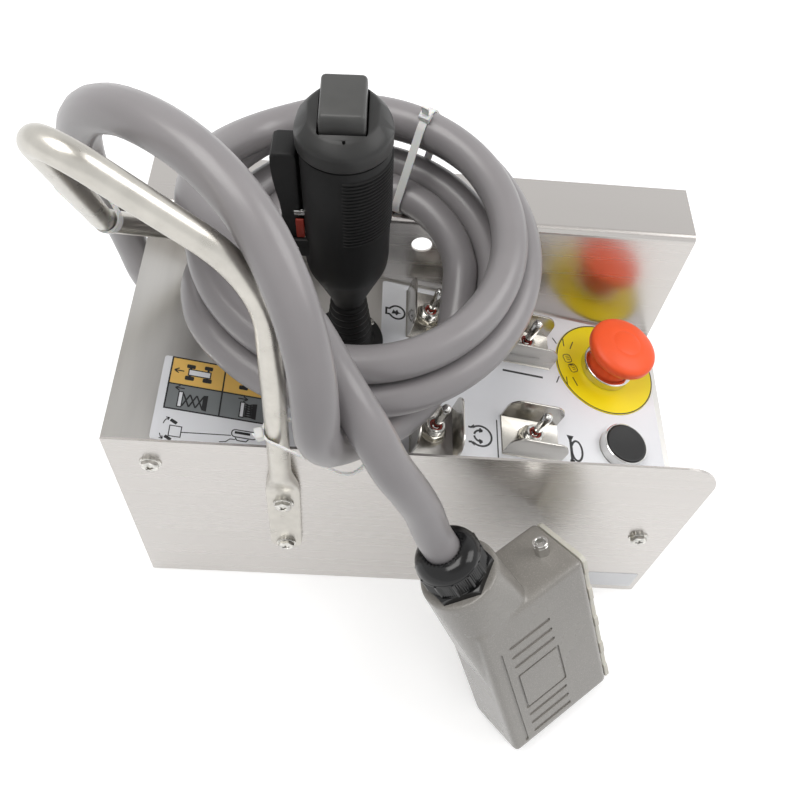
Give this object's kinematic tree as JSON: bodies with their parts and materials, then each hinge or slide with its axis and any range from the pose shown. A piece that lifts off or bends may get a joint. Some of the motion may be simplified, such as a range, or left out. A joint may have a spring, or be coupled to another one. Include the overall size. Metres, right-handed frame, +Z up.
{
  "type": "scissor lift control box",
  "caption": "Stainless steel lift control box with sloping panel, joystick, guarded toggle switches, horn button, emergency stop, bent handle and coiled cable with plug.",
  "frame": {"origin": "middle of the underside of the housing's floor", "axes": "+X along the box towards the emergency stop, +Y away from the operator towards the hook flange, +Z up"},
  "size_m": [0.364, 0.3504, 0.3839],
  "materials": {
    "brushed_stainless": "brushed",
    "bright_steel": "polished",
    "zinc_steel": "satin",
    "white_film": "satin",
    "yellow_film": "satin",
    "red_plastic": "satin",
    "black_plastic": "matte",
    "black_rubber": "matte",
    "case_plastic": "matte",
    "board_laminate": "satin",
    "cable_sheath": "satin",
    "hood_paint": "speckled",
    "insert_plastic": "matte"
  },
  "bodies": {
    "housing": {"enclosure_tub": "brushed_stainless", "control_panel": "brushed_stainless", "near_side_plate": "brushed_stainless", "far_side_plate": "brushed_stainless", "handle_bar": "brushed_stainless", "handle_screws": "zinc_steel", "panel_screws": "zinc_steel", "left_decal": "white_film", "right_decal": "white_film", "near_plate_sticker": "white_film", "guard_left_near": "brushed_stainless", "guard_left_far": "brushed_stainless", "guard_right_near": "brushed_stainless", "guard_right_far": "brushed_stainless", "switch_left_near": "zinc_steel", "switch_left_far": "zinc_steel", "switch_right_near": "zinc_steel", "switch_right_far": "zinc_steel", "toggle_nuts": "zinc_steel", "stop_disc": "yellow_film", "stop_collar": "bright_steel", "stop_block": "case_plastic", "horn_bezel": "bright_steel", "horn_block": "case_plastic", "joystick_base": "black_plastic", "joystick_boot": "black_rubber", "circuit_board": "board_laminate", "board_standoffs": "zinc_steel", "gland_body": "black_plastic", "gland_nut": "black_plastic", "cable_lead": "cable_sheath", "cable_coil": "cable_sheath", "cable_tail": "cable_sheath", "plug_hood": "hood_paint", "plug_gland_body": "black_plastic", "plug_gland_nut": "black_plastic", "plug_insert": "insert_plastic", "plug_pegs": "zinc_steel"},
    "stick": {"joystick_shaft": "zinc_steel", "joystick_grip": "black_plastic", "joystick_head": "black_plastic", "trigger_pin": "zinc_steel"},
    "rocker": {"thumb_rocker": "black_rubber"},
    "trigger": {"enable_trigger": "black_plastic"},
    "toggle_left_near": {"lever_left_near": "bright_steel"},
    "toggle_left_far": {"lever_left_far": "bright_steel"},
    "toggle_right_near": {"lever_right_near": "bright_steel"},
    "toggle_right_far": {"lever_right_far": "bright_steel"},
    "stop_slide": {"stop_plunger": "red_plastic"},
    "stop_knob": {"stop_head": "red_plastic"},
    "horn_button": {"horn_cap": "black_plastic"}
  },
  "joints": [
    {"name": "joystick_tilt", "type": "hinge", "parent": "housing", "child": "stick", "pos_m": [-0.04214, 0.022, 0.15238], "axis": [0, 1, 0], "range_deg": [-12, 12], "stiffness_Nm_per_rad": 3, "deforming": ["joystick_boot"]},
    {"name": "rocker_tilt", "type": "hinge", "parent": "stick", "child": "rocker", "pos_m": [-0.04962, 0.022, 0.31722], "axis": [0, 1, 0], "range_deg": [-8, 8], "stiffness_Nm_per_rad": 0.3},
    {"name": "trigger_squeeze", "type": "hinge", "parent": "stick", "child": "trigger", "pos_m": [-0.07215, 0.022, 0.24011], "axis": [0, 1, 0], "range_deg": [0, 4], "stiffness_Nm_per_rad": 1, "springref_deg": -4.58},
    {"name": "toggle_left_near_flip", "type": "hinge", "parent": "housing", "child": "toggle_left_near", "pos_m": [0.0118, -0.0365, 0.143], "axis": [0.9759, 0, -0.2181], "range_deg": [-13, 13]},
    {"name": "toggle_left_far_flip", "type": "hinge", "parent": "housing", "child": "toggle_left_far", "pos_m": [0.0087, 0.05, 0.14369], "axis": [0.9759, 0, -0.2181], "range_deg": [-13, 13], "stiffness_Nm_per_rad": 0.1},
    {"name": "toggle_right_near_flip", "type": "hinge", "parent": "housing", "child": "toggle_right_near", "pos_m": [0.0748, -0.0295, 0.12892], "axis": [0, 1, 0], "range_deg": [-13, 13], "stiffness_Nm_per_rad": 0.1},
    {"name": "toggle_right_far_flip", "type": "hinge", "parent": "housing", "child": "toggle_right_far", "pos_m": [0.0739, 0.041, 0.12912], "axis": [0, 1, 0], "range_deg": [-13, 13]},
    {"name": "stop_push", "type": "slide", "parent": "housing", "child": "stop_slide", "axis": [-0.2181, 0, -0.9759], "range_m": [0, 0.004]},
    {"name": "stop_twist", "type": "hinge", "parent": "stop_slide", "child": "stop_knob", "pos_m": [0.13616, 0.0367, 0.13006], "axis": [0.2181, 0, 0.9759], "range_deg": [0, 40], "stiffness_Nm_per_rad": 0.2, "springref_deg": -5.73},
    {"name": "horn_push", "type": "slide", "parent": "housing", "child": "horn_button", "axis": [-0.2181, 0, -0.9759], "range_m": [0, 0.0025], "stiffness_N_per_m": 600, "springref_m": -0.001}
  ]
}
